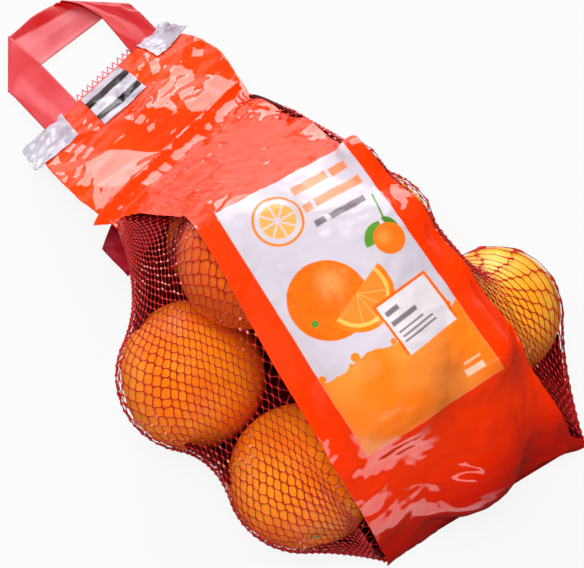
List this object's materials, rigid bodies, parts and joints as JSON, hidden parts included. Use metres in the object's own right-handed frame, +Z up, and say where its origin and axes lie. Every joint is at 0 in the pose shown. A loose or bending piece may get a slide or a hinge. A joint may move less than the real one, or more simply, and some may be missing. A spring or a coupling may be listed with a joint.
{
  "type": "net bag of oranges",
  "caption": "Net bag of oranges lying on its back, with a printed film band over the top, a crumpled film header and a flat strip handle.",
  "frame": {"origin": "on the surface the bag lies on, under the centre of its bounding box", "axes": "+Z up, +Y from the bottom seam towards the handle, +X to the right as the front film is read from the bottom seam"},
  "size_m": [0.2338, 0.3979, 0.1378],
  "materials": {
    "net": "orange peel behind a fine dark red knitted net",
    "film": "glossy thin printed film",
    "white_film": "glossy crumpled white film",
    "strip": "soft gloss translucent film strip"
  },
  "bodies": {
    "root": {"fruit_net": "net", "front_band": "film", "back_band": "film", "header": "film", "left_patch": "white_film", "right_patch": "white_film", "bar_label": "white_film", "handle": "strip"}
  },
  "joints": []
}
